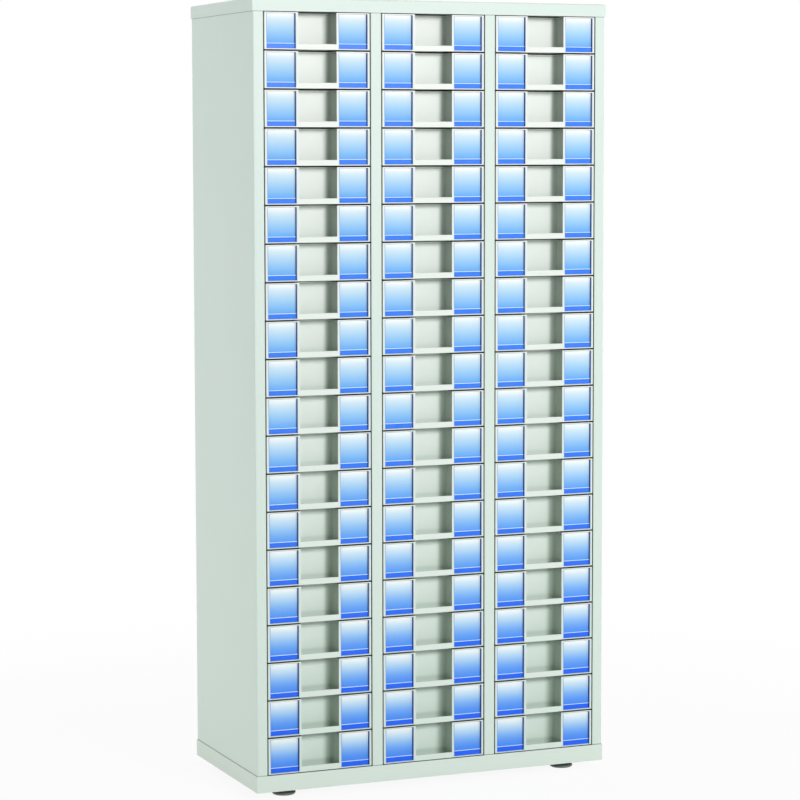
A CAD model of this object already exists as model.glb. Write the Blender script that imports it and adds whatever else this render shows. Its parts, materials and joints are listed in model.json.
"""Drawer cabinet: steel shell, moulded plastic drawers, blue label inserts and levelling feet.

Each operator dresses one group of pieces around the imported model, and the stage operator sets the
floor, the lamps and the camera. Run as a script, the file calls them all in order.
"""

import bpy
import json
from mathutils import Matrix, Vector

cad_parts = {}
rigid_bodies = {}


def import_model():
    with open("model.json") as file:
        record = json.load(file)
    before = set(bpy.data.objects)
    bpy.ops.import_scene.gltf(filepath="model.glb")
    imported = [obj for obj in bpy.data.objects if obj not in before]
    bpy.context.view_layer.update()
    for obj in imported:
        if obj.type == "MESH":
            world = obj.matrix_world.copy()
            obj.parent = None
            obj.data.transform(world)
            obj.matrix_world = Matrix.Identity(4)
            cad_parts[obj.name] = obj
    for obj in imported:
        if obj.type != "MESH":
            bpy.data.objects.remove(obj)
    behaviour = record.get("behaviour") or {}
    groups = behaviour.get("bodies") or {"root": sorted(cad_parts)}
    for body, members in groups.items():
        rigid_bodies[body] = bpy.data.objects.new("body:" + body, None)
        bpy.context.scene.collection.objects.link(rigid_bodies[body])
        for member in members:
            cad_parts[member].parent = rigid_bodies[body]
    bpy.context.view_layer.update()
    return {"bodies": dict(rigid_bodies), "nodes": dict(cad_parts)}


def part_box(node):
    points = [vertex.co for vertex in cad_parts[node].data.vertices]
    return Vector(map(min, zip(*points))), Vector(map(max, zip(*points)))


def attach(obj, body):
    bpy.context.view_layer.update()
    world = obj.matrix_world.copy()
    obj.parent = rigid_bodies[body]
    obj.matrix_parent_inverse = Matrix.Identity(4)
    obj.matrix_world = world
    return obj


bl_info = {
    "name": "Drawer Cabinet",
    "version": (1, 0, 0),
    "blender": (4, 5, 0),
    "location": "View3D > Sidebar > Cabinet",
    "description": "Finishes, label inserts, fasteners and a studio for a drawer cabinet",
    "category": "Object",
}

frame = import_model()

import json
import math

import bmesh
import bpy
from bpy.props import FloatProperty, FloatVectorProperty, IntProperty, PointerProperty
from mathutils import Matrix, Vector

MM = 0.001

# Places that the frame gives
CABINET = "cabinet"
CAP_LOW, CAP_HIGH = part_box("top_cap")
PLINTH_LOW, PLINTH_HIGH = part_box("base_plinth")
SIDE_LOW, SIDE_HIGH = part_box("side_panel_right")
FIRST_LOW, FIRST_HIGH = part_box("drawer_a01")
ROW_PITCH = FIRST_LOW.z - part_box("drawer_a02")[0].z
COLUMN_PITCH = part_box("drawer_b01")[0].x - FIRST_LOW.x
FRONT_W = FIRST_HIGH.x - FIRST_LOW.x
FRONT_H = FIRST_HIGH.z - FIRST_LOW.z
FRONT_Y = FIRST_LOW.y
INNER_X = -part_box("side_panel_left")[1].x
COLUMN_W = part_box("divider_left")[0].x + INNER_X
STEEL_NODES = ("base_plinth", "side_panel_left", "side_panel_right", "divider_left",
               "divider_right", "back_panel", "top_cap")
FEET = ("foot_front_left", "foot_front_right", "foot_rear_left", "foot_rear_right")

# Where a mask starts inside a front's edge and past a wall, and the widths over which it fades
INSIDE_EDGE, PAST_WALL = 0.4 * MM, 0.6 * MM
FADE, SOFT_FADE = 0.3 * MM, 1.0 * MM
# How near a corner lies to a plane that it is on
TOUCH = 0.001 * MM
# How deep the gaps' shade reaches behind the fronts, and the depth over which it fades
GAP_REACH, GAP_FADE = 14.0 * MM, 10.0 * MM
# Light over a recess of the lower drawers: the share of the cabinet's height where it ends, how
# it fades there and behind the recess, and the share of the gaps' shade that it lifts
LIT_TOP, LIT_FADE, LIT_DEPTH_FADE, LIT_SHARE = 0.50, 0.10, 6.0 * MM, 0.5
# A recess's shaded corners: their width, their fade, the right one's shift in low rows, and how
# much sharper they get with height
CORNER_W, CORNER_FADE, CORNER_SHIFT, CORNER_POWER = 20.0 * MM, 17.0 * MM, 9.0 * MM, 2.5
# A recess's shade in the low rows: its fade under the bead and over the lip, and its strength
OVER_FADE, UNDER_FADE, LOW_SHARE = 15.0 * MM, 10.0 * MM, 0.42
# The line under a recess's bead: how far under it, half its height, its fade and its strength
LINE_UNDER, LINE_HALF, LINE_FADE, LINE_SHARE = 0.8 * MM, 0.5 * MM, 0.6 * MM, 0.5
# Where the print's tint fades up the cabinet, and where it fades up a card, as shares of each
TINT_START, TINT_FADE = 0.02, 0.55
CARD_TINT_START, CARD_TINT_FADE = 0.25, 0.65

# Screws of the back panel: their distance from the side's edge and from its ends
SCREW_INSET, SCREW_END = 9.0 * MM, 40.0 * MM
# A screw head's outline outside its flat top, as shares of its radius and height
HEAD_PROFILE = ((0.93, 0.62), (1.0, 0.25), (1.0, 0.0))
# Divider ribs: how far they end under the rim, how far the slots keep from a tray's ends, and the
# thickness of a divider
RIB_SHORT, SLOT_END, DIVIDER_T = 6.0 * MM, 30.0 * MM, 1.4 * MM
# The thread: steps in a turn, how deep its root sits in the stud, and its crest's half height as a
# share of half the pitch
THREAD_STEPS, ROOT_DEPTH, CREST_SHARE = 20, 0.2 * MM, 0.15

# The key lamp's place and size. For each other lamp, its share of the side lamps' power, its
# place, what it points at, and its size
KEY_PLACE, KEY_SIZE = (1.6, -6.7, 3.0), (2.2, 1.6)
SIDE_LAMPS = {
    "left": (0.9, (-4.4, 0.9, 1.1), (0.0, 0.2, 0.9), (2.0, 2.6)),
    "right": (0.7, (4.4, 0.9, 1.5), (0.0, 0.2, 0.9), (2.0, 2.6)),
    "rear": (0.8, (0.6, 4.6, 1.7), (0.0, 0.2, 0.9), (2.6, 2.0)),
    "above": (0.35, (0.0, 0.3, 4.4), (0.0, 0.2, 1.8), (2.0, 2.0)),
}


def srgb(red, green, blue):
    """A colour given in 0 to 255, as the linear values that Blender keeps."""
    shares = (red / 255, green / 255, blue / 255)
    return tuple(s / 12.92 if s <= 0.04045 else ((s + 0.055) / 1.055) ** 2.4 for s in shares)


# Tones that vary a finish
PAINT_CLOUD, PAINT_SPECK = srgb(196, 214, 203), srgb(180, 196, 186)
PLASTIC_FLOW, CAVITY_LINE = srgb(226, 234, 227), (0.45, 0.50, 0.46)
DULL_ZINC, SCUFF = srgb(158, 163, 162), srgb(150, 154, 148)
CARD_MARGIN, WHITE = srgb(222, 240, 254), srgb(255, 255, 255)
FLOOR_GRAIN, AIR = srgb(230, 230, 226), (0.97, 1.0, 0.98)


def drawer_places():
    """Every drawer: its code, its body, and the middle of its front's lower edge."""
    places = []
    for body in sorted(frame["bodies"]):
        if not body.startswith("drawer"):
            continue
        low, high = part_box(body)
        for step, code in enumerate(body.split("_")[1:]):
            bottom = high.z - FRONT_H - step * ROW_PITCH
            places.append((code, body, Vector(((low.x + high.x) / 2, FRONT_Y, bottom))))
    return places


def length(name, description, default, high=3.0):
    """A length property in metres."""
    return FloatProperty(name=name, description=description, default=default, min=0.0, max=high,
                         unit="LENGTH", precision=4)


def colour(name, description, default):
    """A colour property."""
    return FloatVectorProperty(name=name, description=description, default=default, size=3,
                               min=0.0, max=1.0, subtype="COLOR")


def share(name, description, default):
    """A plain number from 0 to 1."""
    return FloatProperty(name=name, description=description, default=default, min=0.0, max=1.0)


class CabinetSteel(bpy.types.PropertyGroup):
    """The painted shell"""

    paint: colour("Paint", "Colour of the powder coat", srgb(220, 235, 228))
    paint_low: colour("Paint near the floor", "The same paint where the floor dims it",
                      srgb(219, 234, 225))
    plinth: colour("Plinth", "Colour of the plinth's paint", srgb(223, 236, 226))
    roughness: share("Roughness", "How dull the paint is", 0.42)
    seam: colour("Seam", "Colour of the line where the shell meets the cap and the plinth",
                 srgb(150, 164, 154))
    seam_h: length("Seam height", "Height of that line", 1.4 * MM)
    screw_radius: length("Screw head radius", "Radius of a back panel screw's head", 4.0 * MM)
    screw_height: length("Screw head height", "Height of a screw's head", 1.4 * MM)
    screw_rows: IntProperty(name="Screw rows", description="Screws down each side of the back",
                            default=9, min=2, max=30)


class DrawerPlastic(bpy.types.PropertyGroup):
    """The moulded drawers"""

    plastic: colour("Plastic", "Colour of the moulded drawers", srgb(243, 247, 243))
    plastic_low: colour("Plastic near the floor", "The same plastic in the lowest drawers",
                        srgb(222, 236, 227))
    roughness: share("Roughness", "How dull the plastic is", 0.38)
    recess_w: length("Recess width", "Width of the finger recess", 91.5 * MM)
    frame_w: length("Pocket frame width", "Plastic frame beside a label pocket", 4.7 * MM)
    frame_h: length("Pocket frame height", "Plastic frame above and below a pocket", 2.1 * MM)
    recess_d: length("Recess depth", "Depth of the finger recess", 43.0 * MM)
    lip_h: length("Lip height", "Height of the grip lip", 13.0 * MM)
    bead_h: length("Bead height", "Height of the bead along a recess's top edge", 3.0 * MM)
    tray_half: length("Tray half width", "From a tray's middle to its inner wall", 116.97 * MM)
    tray_floor: length("Tray floor", "Thickness of a tray's floor", 2.2 * MM)
    tray_rim: length("Tray rim", "Height of a tray's rim over its underside", 79.75 * MM)
    tray_back: length("Tray back", "From a front to the tray's inner back wall", 391.3 * MM)
    rib_w: length("Rib width", "Width of a divider slot's rib", 1.6 * MM)
    rib_out: length("Rib depth", "How far a divider slot's rib stands out", 1.1 * MM)
    slots: IntProperty(name="Divider slots", description="Slots for cross dividers in a tray",
                       default=5, min=1, max=12)
    shade: colour("Cavity tone", "What the plastic is multiplied by in a high recess's corners",
                  (0.46, 0.50, 0.46))
    shade_low: colour("Low cavity tone", "The same in the lowest drawers", (0.68, 0.72, 0.67))
    gap_shade: colour("Gap tone", "What a surface is multiplied by inside the gaps",
                      (0.07, 0.08, 0.08))
    edge_shade: colour("Edge tone", "What a front's upper edge is multiplied by",
                       (0.36, 0.39, 0.37))


class LabelLook(bpy.types.PropertyGroup):
    """The label inserts"""

    top: colour("Card top", "Colour at the upper edge of a card", srgb(250, 253, 255))
    upper: colour("Card upper part", "Colour above the middle of a card", srgb(214, 238, 253))
    middle: colour("Card middle", "Colour at the middle of a card", srgb(168, 216, 254))
    bottom: colour("Card bottom", "Colour above the strip", srgb(104, 178, 252))
    low_tint: colour("Low rows' tint", "What the lowest rows' colours are multiplied by",
                     (0.42, 0.60, 1.0))
    strip: colour("Strip", "Colour of the retaining strip", srgb(56, 132, 252))
    bead: colour("Strip edge", "Colour of the strip's bright upper edge", srgb(226, 244, 255))
    edge: colour("Side edges", "Colour inside an insert's side edges", srgb(4, 14, 92))
    rim: colour("Rim", "Colour of the side edges' front faces", srgb(140, 172, 236))
    gap: length("Gap", "Gap between an insert and its pocket", 0.1 * MM)
    card_y: length("Card depth", "How far the card lies behind the front", 5.7 * MM)
    edge_y: length("Edge depth", "How far the side edges lie behind the front", 0.5 * MM)
    back_y: length("Back depth", "How far an insert's back lies behind the front", 6.9 * MM)
    edge_t: length("Edge thickness", "Thickness of a side edge", 1.3 * MM)
    strip_y: length("Strip depth", "How far the strip lies behind the front", 4.15 * MM)
    strip_h: length("Strip height", "Height of the retaining strip", 12.3 * MM)
    bead_h: length("Strip edge height", "Height of the strip's bright upper edge", 1.5 * MM)


class FootLook(bpy.types.PropertyGroup):
    """The levelling feet"""

    pad: colour("Pad", "Colour of a foot's moulded pad", srgb(112, 121, 115))
    crown: colour("Crown", "Colour of the pad's top and its collar", srgb(58, 66, 62))
    zinc: colour("Zinc", "Colour of zinc plating", srgb(190, 194, 192))
    pad_h: length("Pad height", "Height of a foot's pad over the floor", 8.0 * MM)
    stud_r: length("Stud radius", "Radius of a foot's stud", 5.0 * MM)
    thread_pitch: length("Thread pitch", "Height of one turn of the thread", 1.5 * MM)
    thread_out: length("Thread height", "How far the thread stands out of the stud", 0.25 * MM)


class Studio(bpy.types.PropertyGroup):
    """The floor, the lamps and the camera"""

    floor: colour("Floor", "Colour of the floor", srgb(240, 240, 238))
    floor_radius: length("Floor radius", "Radius of the floor", 14.0, high=100.0)
    ambient: share("Ambient light", "Strength of the light from all round", 0.20)
    key_power: FloatProperty(name="Key lamp", description="Power of the lamp before the fronts",
                             default=299.0, min=0.0, unit="POWER")
    side_power: FloatProperty(name="Side lamps", description="Power that the other lamps share",
                              default=82.0, min=0.0, unit="POWER")
    focal: FloatProperty(name="Focal length", description="Focal length of the camera",
                         default=122.41, min=10.0, unit="CAMERA")
    camera_place: FloatVectorProperty(name="Camera place", description="Where the camera stands",
                                      default=(-2.4639, -5.9053, 1.4757), size=3,
                                      subtype="TRANSLATION")
    yaw: FloatProperty(name="Yaw", description="Turn of the view to the right of straight back",
                       default=math.radians(22.693), subtype="ANGLE")
    pitch: FloatProperty(name="Pitch", description="Tilt of the view above the level",
                         default=math.radians(-5.022), subtype="ANGLE")
    roll: FloatProperty(name="Roll", description="Turn of the picture about the view's line",
                        default=math.radians(-0.099), subtype="ANGLE")
    shift: FloatProperty(name="Vertical shift", description="Shift of the picture",
                         default=-0.02)


class Wired:
    """A node's output. Arithmetic on it adds Math nodes to its graph."""

    def __init__(self, graph, socket):
        self.graph = graph
        self.socket = socket

    def math(self, operation, *others):
        """A Math node's output, with this one as its first value."""
        return self.graph.add("ShaderNodeMath", {"operation": operation}, [self, *others])

    def __add__(self, other):
        return self.math("ADD", other)

    def __radd__(self, other):
        return self.math("ADD", other)

    def __sub__(self, other):
        return self.math("SUBTRACT", other)

    def __rsub__(self, other):
        return self.graph.add("ShaderNodeMath", {"operation": "SUBTRACT"}, [other, self])

    def __mul__(self, other):
        return self.math("MULTIPLY", other)

    def __rmul__(self, other):
        return self.math("MULTIPLY", other)

    def __truediv__(self, other):
        return self.math("DIVIDE", other)

    def __pow__(self, other):
        return self.math("POWER", other)

    def __abs__(self):
        return self.math("ABSOLUTE")

    def above(self, edge, width):
        """0 below edge, 1 above edge + width, and smooth between."""
        return self.graph.add("ShaderNodeMapRange", {"interpolation_type": "SMOOTHSTEP"},
                              {"Value": self, "From Min": edge, "From Max": edge + width})


SOCKETS = {"metallic": "Metallic", "specular": "Specular IOR Level"}


class Graph:
    """The node tree of a material or of the world."""

    def __init__(self, owner):
        owner.use_nodes = True
        self.tree = owner.node_tree
        self.tree.nodes.clear()

    def add(self, kind, settings=None, inputs=(), output=0):
        """One node: its settings are set first, then its sockets by name or in order."""
        node = self.tree.nodes.new(kind)
        for name, value in (settings or {}).items():
            if name == "stops":
                self.set_stops(node.color_ramp, value)
            else:
                setattr(node, name, value)
        named = inputs.items() if isinstance(inputs, dict) else enumerate(inputs)
        for key, value in named:
            self.feed(node.inputs[key], value)
        return Wired(self, node.outputs[output])

    def feed(self, socket, value):
        """Links another node's output to a socket, or sets its value."""
        if isinstance(value, Wired):
            self.tree.links.new(value.socket, socket)
        elif socket.type == "RGBA" and len(value) == 3:
            socket.default_value = (*value, 1.0)
        else:
            socket.default_value = value

    @staticmethod
    def set_stops(ramp, stops):
        """Gives a colour ramp these places and tones."""
        while len(ramp.elements) > 1:
            ramp.elements.remove(ramp.elements[-1])
        for index, (place, tone) in enumerate(stops):
            stop = ramp.elements[0] if index == 0 else ramp.elements.new(place)
            stop.position = place
            stop.color = (*tone, 1.0)

    def place(self):
        """A point's place on the object, in metres."""
        return self.add("ShaderNodeTexCoord", output="Object")

    def part(self, vector, axis):
        """A vector's X, Y or Z."""
        return self.add("ShaderNodeSeparateXYZ", inputs=[vector], output=axis)

    def noise(self, vector, scale, detail):
        """Smooth noise round 0.5, with scale spots in a metre."""
        return self.add("ShaderNodeTexNoise",
                        inputs={"Vector": vector, "Scale": scale, "Detail": detail})

    def stretched(self, vector, scale):
        """A place, scaled along each axis."""
        return self.add("ShaderNodeMapping", inputs={"Vector": vector, "Scale": scale})

    def mix(self, amount, low, high, blend="MIX"):
        """A colour between low and high. The node's sockets for colours are its 7th and 8th."""
        node = self.tree.nodes.new("ShaderNodeMix")
        node.data_type = "RGBA"
        node.blend_type = blend
        for index, value in ((0, amount), (6, low), (7, high)):
            self.feed(node.inputs[index], value)
        return Wired(self, node.outputs[2])

    def dimmed(self, amount, tone, shade):
        """A tone, multiplied by shade where amount is 1."""
        return self.mix(amount, tone, self.mix(1.0, tone, shade, "MULTIPLY"))

    def bump(self, height, distance, strength):
        """The surface's direction, raised where height is 1 by distance."""
        return self.add("ShaderNodeBump", inputs={
            "Height": height, "Distance": distance, "Strength": strength})

    def surface(self, tone, roughness, normal, **sockets):
        """The Principled shader wired to the output. A socket's name is given in small letters."""
        inputs = {"Base Color": tone, "Roughness": roughness, "Normal": normal}
        inputs.update({SOCKETS[name]: value for name, value in sockets.items()})
        self.finish(self.add("ShaderNodeBsdfPrincipled", inputs=inputs))

    def finish(self, shader, end="ShaderNodeOutputMaterial"):
        """Wires a shader to the tree's output."""
        last = self.tree.nodes.new(end)
        self.tree.links.new(shader.socket, last.inputs["Surface"])


def material(name):
    """A new material and its graph."""
    made = bpy.data.materials.new(name)
    return made, Graph(made)


def height_share(g, place):
    """0 at the floor and 1 at the cabinet's top."""
    return g.part(place, "Z") / CAP_HIGH.z


def up_row(g, place):
    """How far a point lies over the lower edge of its row's fronts."""
    return (g.part(place, "Z") - FIRST_LOW.z).math("WRAP", ROW_PITCH, 0.0)


def across_column(g, place):
    """How far a point lies to the right of the middle of its column of drawers."""
    return g.part(place, "X").math("WRAP", COLUMN_PITCH / 2, -COLUMN_PITCH / 2)


def from_column(g, place):
    """How far a point lies to either side of the middle of its column of drawers."""
    return abs(across_column(g, place))


def gap_depth(g, place, start):
    """1 in the first millimetres behind the fronts, from start on, fading further in."""
    depth = g.part(place, "Y") - FRONT_Y
    return depth.above(start, SOFT_FADE) * (1.0 - depth.above(GAP_REACH, GAP_FADE))


def off_middle(g, place):
    """How far a point lies over the drawers' space or under it, and less than 0 inside."""
    middle = (PLINTH_HIGH.z + CAP_LOW.z) / 2
    return abs(g.part(place, "Z") - middle) - (middle - PLINTH_HIGH.z)


def among_drawers(g, place):
    """1 close behind the fronts, between the inner walls, the deck and the cap."""
    inside = 1.0 - abs(g.part(place, "X")).above(INNER_X + PAST_WALL, FADE)
    within = 1.0 - off_middle(g, place).above(FADE, FADE)
    return inside * within * gap_depth(g, place, PAST_WALL)


def in_gap(g, place):
    """1 inside the narrow gap beside a drawer front, and 0 on what faces the room."""
    side = from_column(g, place).above(FRONT_W / 2 - INSIDE_EDGE, FADE)
    beside = 1.0 - from_column(g, place).above(COLUMN_W / 2 + PAST_WALL, FADE)
    return side * beside * among_drawers(g, place)


def lit_over_recess(g, place, look):
    """The share of light that comes in over a finger recess of the lower drawers."""
    inside = 1.0 - from_column(g, place).above(look.recess_w / 2 - SOFT_FADE, SOFT_FADE)
    low = 1.0 - height_share(g, place).above(LIT_TOP, LIT_FADE)
    ahead = 1.0 - g.part(place, "Y").above(FRONT_Y + look.recess_d, LIT_DEPTH_FADE)
    return inside * low * ahead * LIT_SHARE


def on_deck(g, place, look):
    """1 on the plinth's deck and the cap's lower face, over and under the drawers."""
    face = off_middle(g, place).above(-0.5 * MM, FADE)
    return face * (1.0 - lit_over_recess(g, place, look)) * among_drawers(g, place)


def at_seam(g, place, look):
    """1 along the joints of the shell with the cap and the plinth, on the shell's side."""
    up = g.part(place, "Z")
    under_cap = abs(up - (CAP_LOW.z - look.seam_h / 2))
    over_plinth = abs(up - (PLINTH_HIGH.z + look.seam_h / 2))
    off = under_cap.math("MINIMUM", over_plinth)
    return 1.0 - off.above(look.seam_h * 0.4, look.seam_h * 0.3)


def on_plinth(g, place):
    """1 on the plinth, under its top edge."""
    return 1.0 - g.part(place, "Z").above(PLINTH_HIGH.z - SOFT_FADE, SOFT_FADE)


def painted_steel(look, drawers):
    """Powder coat: a fine orange peel, faint clouds in the tone and a soft sheen."""
    made, g = material("painted_steel")
    place = g.place()
    clouds = g.noise(place, scale=3.0, detail=3.0)
    peel = g.noise(place, scale=620.0, detail=2.0)
    speck = g.noise(place, scale=2600.0, detail=1.0)
    tone = g.mix(height_share(g, place), look.paint_low, look.paint)
    tone = g.mix(on_plinth(g, place), tone, look.plinth)
    tone = g.mix(abs(clouds - 0.5) * 0.10, tone, PAINT_CLOUD)
    tone = g.mix(speck.above(0.72, 0.05) * 0.05, tone, PAINT_SPECK)
    tone = g.mix(at_seam(g, place, look) * (0.6 + clouds * 0.5), tone, look.seam)
    gap = in_gap(g, place).math("MAXIMUM", on_deck(g, place, drawers))
    g.surface(tone=g.dimmed(gap, tone, drawers.gap_shade),
              roughness=look.roughness + (clouds - 0.5) * 0.12, specular=0.38,
              normal=g.bump(peel * 0.8 + speck * 0.2, distance=0.25 * MM, strength=0.35))
    return made


def gap_tone(g, place, tone, look):
    """The plastic's tone, dimmed on a front's edges inside the gaps to the next drawers."""
    up = up_row(g, place)
    beyond = up.above(FRONT_H + 0.5 * MM, FADE)
    top = up.above(FRONT_H - INSIDE_EDGE, FADE) - beyond
    under = (1.0 - up.above(0.1 * MM, 0.4 * MM)).math("MAXIMUM", beyond)
    behind = gap_depth(g, place, start=0.1 * MM)
    tone = g.dimmed(top * behind, tone, look.edge_shade)
    ahead = (1.0 - g.part(place, "Y").above(FRONT_Y, SOFT_FADE)) * 0.5
    dark = 1.0 - lit_over_recess(g, place, look)
    return g.dimmed(under * dark * behind.math("MAXIMUM", ahead), tone, look.gap_shade)


def in_recess(g, place, look):
    """1 on what faces into a finger recess, behind the lip."""
    depth = g.part(place, "Y") - FRONT_Y
    ahead = 1.0 - depth.above(look.recess_d + 0.8 * MM, 0.4 * MM)
    inside = 1.0 - from_column(g, place).above(look.recess_w / 2 + 0.5 * MM, FADE)
    return ahead * inside * depth.above(FADE, SOFT_FADE)


def recess_tone(g, place, tone, look):
    """The plastic's tone, dimmed in a recess's corners and, in low drawers, above and below."""
    high = height_share(g, place)
    inside = in_recess(g, place, look)
    right = across_column(g, place).above(0.0, SOFT_FADE)
    off = from_column(g, place) + right * (1.0 - high) * CORNER_SHIFT
    corner = off.above(look.recess_w / 2 - CORNER_W, CORNER_FADE) ** (1.0 + high * CORNER_POWER)
    tone = g.dimmed(inside * corner, tone, g.mix(high, look.shade_low, look.shade))
    up = up_row(g, place)
    over = up.above(FRONT_H - OVER_FADE, OVER_FADE)
    under = 1.0 - up.above(look.lip_h - SOFT_FADE, UNDER_FADE)
    low = (1.0 - high) * LOW_SHARE
    under_bead = abs(up - (FRONT_H - look.bead_h - LINE_UNDER))
    line = (1.0 - under_bead.above(LINE_HALF, LINE_FADE)) * LINE_SHARE
    dim = (low * over.math("MAXIMUM", under)).math("MAXIMUM", line)
    return g.dimmed(inside * dim, tone, CAVITY_LINE)


def drawer_plastic(look):
    """Moulded plastic with a fine spark-eroded texture and faint flow lines."""
    made, g = material("drawer_plastic")
    place = g.place()
    grain = g.noise(place, scale=1500.0, detail=2.0)
    flow = g.noise(g.stretched(place, (9.0, 30.0, 3.0)), scale=1.0, detail=3.0)
    tone = g.mix(height_share(g, place), look.plastic_low, look.plastic)
    tone = g.mix(flow.above(0.5, 0.4) * 0.12, tone, PLASTIC_FLOW)
    tone = recess_tone(g, place, tone, look)
    g.surface(tone=gap_tone(g, place, tone, look),
              roughness=look.roughness + (grain - 0.5) * 0.14, specular=0.28,
              normal=g.bump(grain, distance=0.1 * MM, strength=0.4))
    return made


def zinc_plate(look, name="runner_steel"):
    """Bright zinc plating with a fine mottle."""
    made, g = material(name)
    place = g.place()
    mottle = g.noise(place, scale=90.0, detail=3.0)
    rub = g.noise(g.stretched(place, (400.0, 6.0, 400.0)), scale=1.0, detail=2.0)
    g.surface(tone=g.mix(mottle, look.zinc, DULL_ZINC), metallic=1.0,
              roughness=0.30 + mottle * 0.18,
              normal=g.bump(rub, distance=0.05 * MM, strength=0.3))
    return made


def foot_plastic(look):
    """Glass-filled nylon, darker on its crown and scuffed towards the floor."""
    made, g = material("foot_plastic")
    place = g.place()
    grain = g.noise(place, scale=900.0, detail=2.0)
    patch = g.noise(place, scale=60.0, detail=3.0)
    up = g.part(place, "Z")
    scuff = (1.0 - up.above(0.0, look.pad_h)) * patch.above(0.35, 0.4)
    tone = g.mix(up.above(look.pad_h * 0.5, look.pad_h * 0.5) * 0.7, look.pad, look.crown)
    tone = g.mix(patch * 0.2, tone, look.crown)
    g.surface(tone=g.mix(scuff * 0.35, tone, SCUFF), roughness=0.32 + (grain - 0.5) * 0.16,
              normal=g.bump(grain, distance=0.1 * MM, strength=0.4))
    return made


def depth_tint(g, place, tone, look, amount):
    """The print's tone, deeper in the lower rows."""
    low = (1.0 - height_share(g, place).above(TINT_START, TINT_FADE)) * amount
    return g.dimmed(low, tone, look.low_tint)


def label_card(look):
    """A printed card behind clear film: white at its upper edge, blue at its foot."""
    made, g = material("label_card")
    place = g.place()
    print_place = g.add("ShaderNodeUVMap", {"uv_map": "print"})
    across, up = g.part(print_place, "X"), g.part(print_place, "Y")
    fibre = g.noise(place, scale=1800.0, detail=3.0)
    band = g.noise(g.stretched(place, (260.0, 1.0, 2.0)), scale=1.0, detail=1.0)
    stops = ((0.16, look.bottom), (0.52, look.middle), (0.80, look.upper), (0.97, look.top))
    tone = g.add("ShaderNodeValToRGB", {"stops": stops}, [up + (band - 0.5) * 0.02])
    tint = 1.0 - up.above(CARD_TINT_START, CARD_TINT_FADE)
    tone = depth_tint(g, place, tone, look, tint)
    margin = abs(across - 0.5).above(0.474, 0.006)
    tone = g.mix(margin * 0.7, tone, CARD_MARGIN)
    g.surface(tone=g.mix(fibre * 0.03, tone, WHITE), roughness=0.45 + (fibre - 0.5) * 0.1,
              specular=0.12, normal=g.bump(fibre, distance=0.03 * MM, strength=0.3))
    return made


def tinted_plastic(name, tone, look, tint=1.0):
    """Blue plastic of an insert's strip and edges."""
    made, g = material(name)
    place = g.place()
    grain = g.noise(place, scale=1300.0, detail=2.0)
    cloud = g.noise(place, scale=45.0, detail=2.0)
    shade = g.mix(cloud * 0.04, tone, WHITE)
    g.surface(tone=depth_tint(g, place, shade, look, tint),
              roughness=0.25 + (grain - 0.5) * 0.12, specular=0.15,
              normal=g.bump(grain, distance=0.04 * MM, strength=0.3))
    return made


def finished_mesh(bm, name):
    """A bmesh as a mesh. The bmesh is freed."""
    mesh = bpy.data.meshes.new(name)
    bm.to_mesh(mesh)
    bm.free()
    return mesh


def piece_from(name, bm, materials, body):
    """A finished piece: its mesh in the row's frame, riding on a body."""
    mesh = finished_mesh(bm, name)
    for finish in materials:
        mesh.materials.append(finish)
    piece = bpy.data.objects.new(name, mesh)
    bpy.context.scene.collection.objects.link(piece)
    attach(piece, body)


def add_copies(bm, shape, matrices):
    """Adds a mesh to bm once for each matrix."""
    for matrix in matrices:
        before = len(bm.verts)
        bm.from_mesh(shape)
        bm.verts.ensure_lookup_table()
        bmesh.ops.transform(bm, matrix=matrix, verts=bm.verts[before:])


PRINT, EDGE, STRIP, BEAD, RIM = range(5)


def card_holder(look, width, height):
    """The insert's card with its two side edges, extruded up from their outline."""
    bm = bmesh.new()
    edge = look.edge_t
    outline = [(0.0, look.back_y), (0.0, look.edge_y), (edge, look.edge_y), (edge, look.card_y),
               (width - edge, look.card_y), (width - edge, look.edge_y), (width, look.edge_y),
               (width, look.back_y)]
    face = bm.faces.new([bm.verts.new((x, y, 0.0)) for x, y in outline])
    made = bmesh.ops.extrude_face_region(bm, geom=[face])["geom"]
    upper = [item for item in made if isinstance(item, bmesh.types.BMVert)]
    bmesh.ops.translate(bm, vec=(0.0, 0.0, height), verts=upper)
    bmesh.ops.recalc_face_normals(bm, faces=bm.faces)
    for face in bm.faces:
        inside = edge * 1.1 < face.calc_center_median().x < width - edge * 1.1
        face.material_index = EDGE
        if face.normal.y < -0.9:
            face.material_index = PRINT if inside else RIM
    return bm


def retaining_strip(look, width):
    """The strip along a card's foot, with a softened bright bead along its top."""
    bm = bmesh.new()
    bar = bmesh.ops.create_cube(bm, size=1.0)["verts"]
    depth = look.card_y - look.strip_y
    bmesh.ops.scale(bm, vec=(width - 2 * look.edge_t, depth, look.strip_h), verts=bar)
    bmesh.ops.translate(bm, vec=(width / 2, look.strip_y + depth / 2, look.strip_h / 2),
                        verts=bar)
    bead_low = look.strip_h - look.bead_h
    bmesh.ops.bisect_plane(bm, geom=bm.verts[:] + bm.edges[:] + bm.faces[:],
                           plane_co=(0.0, 0.0, bead_low), plane_no=(0.0, 0.0, 1.0))
    for face in bm.faces:
        face.material_index = BEAD if face.calc_center_median().z > bead_low else STRIP
    rim = [e for e in bm.edges if all(v.co.z > look.strip_h - TOUCH for v in e.verts)
           and all(v.co.y < look.strip_y + TOUCH for v in e.verts)]
    bmesh.ops.bevel(bm, geom=rim, offset=look.bead_h * 0.55, affect="EDGES", segments=3,
                    profile=0.5, material=-1)
    return finished_mesh(bm, "strip")


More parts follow.
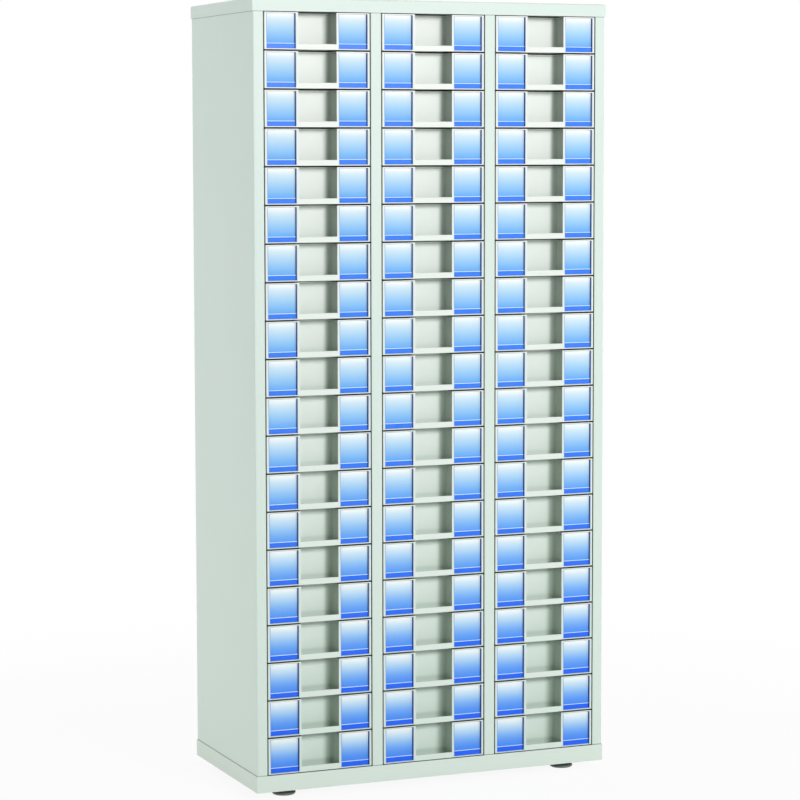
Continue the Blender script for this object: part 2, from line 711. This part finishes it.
def insert_shape(look, width, height):
    """One label insert, its lower left front corner at the origin of its pocket."""
    bm = card_holder(look, width, height)
    strip = retaining_strip(look, width)
    bm.from_mesh(strip)
    bpy.data.meshes.remove(strip)
    layer = bm.loops.layers.uv.new("print")
    for face in bm.faces:
        for loop in face.loops:
            loop[layer].uv = (loop.vert.co.x / width, loop.vert.co.z / height)
    return finished_mesh(bm, "label_insert")


def set_materials(node, made):
    """Gives every material slot of a CAD node this material."""
    obj = frame["nodes"][node]
    if not obj.material_slots:
        obj.data.materials.append(made)
    for slot in obj.material_slots:
        slot.material = made


def area_lamp(name, power, place, target, size):
    """A rectangular lamp that looks from place to target."""
    lamp = bpy.data.lights.new(name, "AREA")
    lamp.shape = "RECTANGLE"
    lamp.size, lamp.size_y = size
    lamp.energy = power
    made = bpy.data.objects.new(name, lamp)
    bpy.context.scene.collection.objects.link(made)
    made.location = place
    made.rotation_euler = (Vector(target) - Vector(place)).to_track_quat("-Z", "Y").to_euler()


def seen_rays(g):
    """1 for a ray that the eye follows: from the camera, or through a gloss or glass."""
    kinds = [g.add("ShaderNodeLightPath", output=name)
             for name in ("Is Camera Ray", "Is Glossy Ray", "Is Transmission Ray")]
    return kinds[0].math("MAXIMUM", kinds[1]).math("MAXIMUM", kinds[2])


class CABINET_OT_stage(bpy.types.Operator):
    """Make the floor, the lamps, the world and the camera"""

    bl_idname = "cabinet.stage"
    bl_label = "Stage"

    def execute(self, context):
        look = context.scene.cabinet_studio
        self.make_world(look)
        self.make_floor(look)
        self.make_lamps(look)
        self.make_camera(context.scene, look)
        context.scene.view_settings.view_transform = "Standard"
        return {"FINISHED"}

    def make_world(self, look):
        world = bpy.data.worlds.new("studio")
        bpy.context.scene.world = world
        g = Graph(world)
        dim = g.add("ShaderNodeBackground", inputs=[AIR, look.ambient])
        white = g.add("ShaderNodeBackground", inputs=[WHITE, 1.0])
        mixed = g.add("ShaderNodeMixShader", inputs=[seen_rays(g), dim, white])
        g.finish(mixed, "ShaderNodeOutputWorld")

    def make_floor(self, look):
        bm = bmesh.new()
        bmesh.ops.create_circle(bm, cap_ends=True, radius=look.floor_radius, segments=64)
        mesh = finished_mesh(bm, "floor")
        made, g = material("pale_floor")
        place = g.place()
        away = g.add("ShaderNodeVectorMath", {"operation": "LENGTH"}, [place], output="Value")
        grain = g.noise(place, scale=40.0, detail=3.0)
        lit = g.add("ShaderNodeBsdfDiffuse", inputs=[g.mix(grain * 0.1, look.floor, FLOOR_GRAIN)])
        white = g.add("ShaderNodeEmission", inputs=[WHITE, 1.0])
        seen_white = seen_rays(g) * (0.92 + 0.08 * away.above(0.8, 1.6))
        g.finish(g.add("ShaderNodeMixShader", inputs=[seen_white, lit, white]))
        mesh.materials.append(made)
        floor = bpy.data.objects.new("floor", mesh)
        bpy.context.scene.collection.objects.link(floor)

    def make_lamps(self, look):
        front = (0.0, FRONT_Y, CAP_HIGH.z / 2)
        area_lamp("key", look.key_power, KEY_PLACE, front, KEY_SIZE)
        for name, (part, place, target, size) in SIDE_LAMPS.items():
            area_lamp(name, look.side_power * part, place, target, size)

    def make_camera(self, scene, look):
        lens = bpy.data.cameras.new("camera")
        lens.lens = look.focal
        lens.shift_y = look.shift
        made = bpy.data.objects.new("camera", lens)
        scene.collection.objects.link(made)
        turn = (Matrix.Rotation(-look.yaw, 4, "Z")
                @ Matrix.Rotation(math.pi / 2 + look.pitch, 4, "X")
                @ Matrix.Rotation(look.roll, 4, "Z"))
        made.matrix_world = Matrix.Translation(look.camera_place) @ turn
        scene.camera = made


class CABINET_OT_shell(bpy.types.Operator):
    """Paint the steel shell, plate the runners and fasten the back panel"""

    bl_idname = "cabinet.shell"
    bl_label = "Shell"

    def execute(self, context):
        look = context.scene.cabinet_steel
        paint = painted_steel(look, context.scene.cabinet_plastic)
        for node in STEEL_NODES:
            set_materials(node, paint)
        zinc = zinc_plate(context.scene.cabinet_foot)
        set_materials("drawer_runners", zinc)
        self.make_screws(look, zinc)
        return {"FINISHED"}

    def screw_head(self, look):
        """A pan head with a cross recess, its seat at z = 0."""
        bm = bmesh.new()
        arm, narrow = look.screw_radius * 0.55, look.screw_radius * 0.16
        corners = []
        for quarter in range(4):
            turn = Matrix.Rotation(quarter * math.pi / 2, 2)
            for point in ((arm, -narrow), (arm, narrow), (narrow, narrow)):
                corners.append(turn @ Vector(point))
        cross = [bm.verts.new((x, y, look.screw_height)) for x, y in corners]
        cross_edges = [bm.edges.new((a, b)) for a, b in zip(cross, cross[1:] + cross[:1])]
        ring = bmesh.ops.create_circle(bm, segments=12, radius=look.screw_radius * 0.72)["verts"]
        bmesh.ops.rotate(bm, verts=ring, matrix=Matrix.Rotation(-math.pi / 12, 3, "Z"))
        bmesh.ops.translate(bm, vec=(0.0, 0.0, look.screw_height), verts=ring)
        ring_edges = [e for e in bm.edges if all(v in ring for v in e.verts)]
        bmesh.ops.bridge_loops(bm, edges=cross_edges + ring_edges)
        for radius, height in HEAD_PROFILE:
            ring_edges = bmesh.ops.extrude_edge_only(bm, edges=ring_edges)["geom"]
            ring = [v for v in ring_edges if isinstance(v, bmesh.types.BMVert)]
            ring_edges = [e for e in ring_edges if isinstance(e, bmesh.types.BMEdge)]
            for vert in ring:
                flat = Vector((vert.co.x, vert.co.y)).normalized() * look.screw_radius * radius
                vert.co = (*flat, look.screw_height * height)
        deep = bmesh.ops.extrude_edge_only(bm, edges=cross_edges)["geom"]
        floor = [v for v in deep if isinstance(v, bmesh.types.BMVert)]
        bmesh.ops.scale(bm, vec=(0.6, 0.6, 1.0), verts=floor)
        bmesh.ops.translate(bm, vec=(0.0, 0.0, -look.screw_height * 0.7), verts=floor)
        bmesh.ops.edgeloop_fill(bm, edges=[e for e in deep if isinstance(e, bmesh.types.BMEdge)])
        bmesh.ops.recalc_face_normals(bm, faces=bm.faces)
        return finished_mesh(bm, "screw_head")

    def make_screws(self, look, zinc):
        head = self.screw_head(look)
        side = SIDE_HIGH.x - SCREW_INSET
        bottom, top = SIDE_LOW.z + SCREW_END, SIDE_HIGH.z - SCREW_END
        facing_back = Matrix.Rotation(-math.pi / 2, 4, "X")
        places = []
        for sign in (-1, 1):
            for row in range(look.screw_rows):
                z = bottom + (top - bottom) * row / (look.screw_rows - 1)
                spin = Matrix.Rotation(0.7 * row + sign, 4, "Z")
                places.append(Matrix.Translation((sign * side, SIDE_HIGH.y, z))
                              @ facing_back @ spin)
        bm = bmesh.new()
        add_copies(bm, head, places)
        piece_from("back_screws", bm, [zinc], CABINET)


class CABINET_OT_drawers(bpy.types.Operator):
    """Finish the moulded drawers and give their trays slots for cross dividers"""

    bl_idname = "cabinet.drawers"
    bl_label = "Drawers"

    def execute(self, context):
        look = context.scene.cabinet_plastic
        plastic = drawer_plastic(look)
        for body in {body for _, body, _ in drawer_places()}:
            set_materials(body, plastic)
        rib = self.rib_shape(look)
        places = self.rib_places(look)
        for code, body, place in drawer_places():
            bm = bmesh.new()
            add_copies(bm, rib, [Matrix.Translation(place) @ spot for spot in places])
            piece_from(f"divider_ribs_{code}", bm, [plastic], body)
        return {"FINISHED"}

    def rib_shape(self, look):
        """An upright rib with softened edges, its foot at the origin and its wall at x = 0."""
        bm = bmesh.new()
        height = look.tray_rim - look.tray_floor - RIB_SHORT
        bar = bmesh.ops.create_cube(bm, size=1.0)["verts"]
        bmesh.ops.scale(bm, vec=(look.rib_out, look.rib_w, height), verts=bar)
        bmesh.ops.translate(bm, vec=(look.rib_out / 2, 0.0, height / 2), verts=bar)
        outer = [e for e in bm.edges if all(v.co.x > look.rib_out * 0.9 for v in e.verts)]
        bmesh.ops.bevel(bm, geom=outer, offset=look.rib_out * 0.4, affect="EDGES", segments=2,
                        profile=0.5, material=-1)
        return finished_mesh(bm, "divider_rib")

    def rib_places(self, look):
        """Two ribs for each slot on both walls, from the middle of the front's lower edge."""
        start = look.recess_d + SLOT_END
        step = (look.tray_back - start - SLOT_END) / (look.slots - 1)
        gap = look.rib_w + DIVIDER_T
        places = []
        for slot in range(look.slots):
            for side in (-1, 1):
                y = start + slot * step + side * gap / 2
                for turn, x in ((0.0, -look.tray_half), (math.pi, look.tray_half)):
                    places.append(Matrix.Translation((x, y, look.tray_floor))
                                  @ Matrix.Rotation(turn, 4, "Z"))
        return places


class CABINET_OT_labels(bpy.types.Operator):
    """Make the label inserts of every drawer"""

    bl_idname = "cabinet.labels"
    bl_label = "Labels"

    def execute(self, context):
        look = context.scene.cabinet_labels
        plastic = context.scene.cabinet_plastic
        pocket_w = (FRONT_W - plastic.recess_w) / 2 - 2 * plastic.frame_w
        pocket_h = FRONT_H - 2 * plastic.frame_h
        shape = insert_shape(look, pocket_w - 2 * look.gap, pocket_h - 2 * look.gap)
        finishes = [label_card(look), tinted_plastic("label_edge", look.edge, look),
                    tinted_plastic("label_strip", look.strip, look),
                    tinted_plastic("label_strip_edge", look.bead, look, tint=0.3),
                    tinted_plastic("label_rim", look.rim, look, tint=0.3)]
        right = plastic.recess_w / 2 + plastic.frame_w + look.gap
        left = -FRONT_W / 2 + plastic.frame_w + look.gap
        for code, body, place in drawer_places():
            bm = bmesh.new()
            add_copies(bm, shape, [
                Matrix.Translation(place + Vector((x, 0.0, plastic.frame_h + look.gap)))
                for x in (left, right)])
            piece_from(f"label_inserts_{code}", bm, finishes, body)
        return {"FINISHED"}


class CABINET_OT_feet(bpy.types.Operator):
    """Finish the levelling feet and cut the threads of their studs"""

    bl_idname = "cabinet.feet"
    bl_label = "Feet"

    def execute(self, context):
        look = context.scene.cabinet_foot
        nylon = foot_plastic(look)
        zinc = zinc_plate(look, "stud_zinc")
        for foot in FEET:
            set_materials(foot, nylon)
            low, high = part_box(foot)
            middle = Vector(((low.x + high.x) / 2, (low.y + high.y) / 2, 0.0))
            bm = self.thread(look, PLINTH_LOW.z, high.z - look.thread_pitch)
            bmesh.ops.translate(bm, vec=middle, verts=bm.verts)
            piece_from(f"thread_{foot}", bm, [zinc], foot)
        return {"FINISHED"}

    def thread(self, look, bottom, top):
        """The stud's thread: a ridge wound round it from bottom to top."""
        bm = bmesh.new()
        half = look.thread_pitch / 2
        turns = int((top - bottom) / look.thread_pitch)
        root, crest = look.stud_r - ROOT_DEPTH, look.stud_r + look.thread_out
        points = [(root, -half), (crest, -half * CREST_SHARE), (crest, half * CREST_SHARE),
                  (root, half)]
        row = [bm.verts.new((x, 0.0, bottom + half + z)) for x, z in points]
        edges = [bm.edges.new(pair) for pair in zip(row, row[1:])]
        bmesh.ops.spin(bm, geom=row + edges, cent=(0.0, 0.0, 0.0), axis=(0.0, 0.0, 1.0),
                       dvec=(0.0, 0.0, look.thread_pitch / THREAD_STEPS),
                       angle=2 * math.pi * turns, steps=THREAD_STEPS * turns)
        bmesh.ops.remove_doubles(bm, verts=bm.verts, dist=0.02 * MM)
        bmesh.ops.recalc_face_normals(bm, faces=bm.faces)
        return bm


class CABINET_PT_panel(bpy.types.Panel):
    """The cabinet's steps in the sidebar"""

    bl_idname = "CABINET_PT_panel"
    bl_label = "Drawer Cabinet"
    bl_space_type = "VIEW_3D"
    bl_region_type = "UI"
    bl_category = "Cabinet"

    def draw(self, context):
        for name in STEPS:
            self.layout.operator(f"cabinet.{name}")


STEPS = ("stage", "shell", "drawers", "labels", "feet")
SETTINGS = {"cabinet_steel": CabinetSteel, "cabinet_plastic": DrawerPlastic,
            "cabinet_labels": LabelLook, "cabinet_foot": FootLook, "cabinet_studio": Studio}
CLASSES = (*SETTINGS.values(), CABINET_OT_stage, CABINET_OT_shell, CABINET_OT_drawers,
           CABINET_OT_labels, CABINET_OT_feet, CABINET_PT_panel)


def register():
    for kind in CLASSES:
        bpy.utils.register_class(kind)
    for name, kind in SETTINGS.items():
        setattr(bpy.types.Scene, name, PointerProperty(type=kind))


def unregister():
    for name in SETTINGS:
        delattr(bpy.types.Scene, name)
    for kind in reversed(CLASSES):
        bpy.utils.unregister_class(kind)


def main():
    register()
    for name in STEPS:
        getattr(bpy.ops.cabinet, name)()


if __name__ == "__main__":
    main()
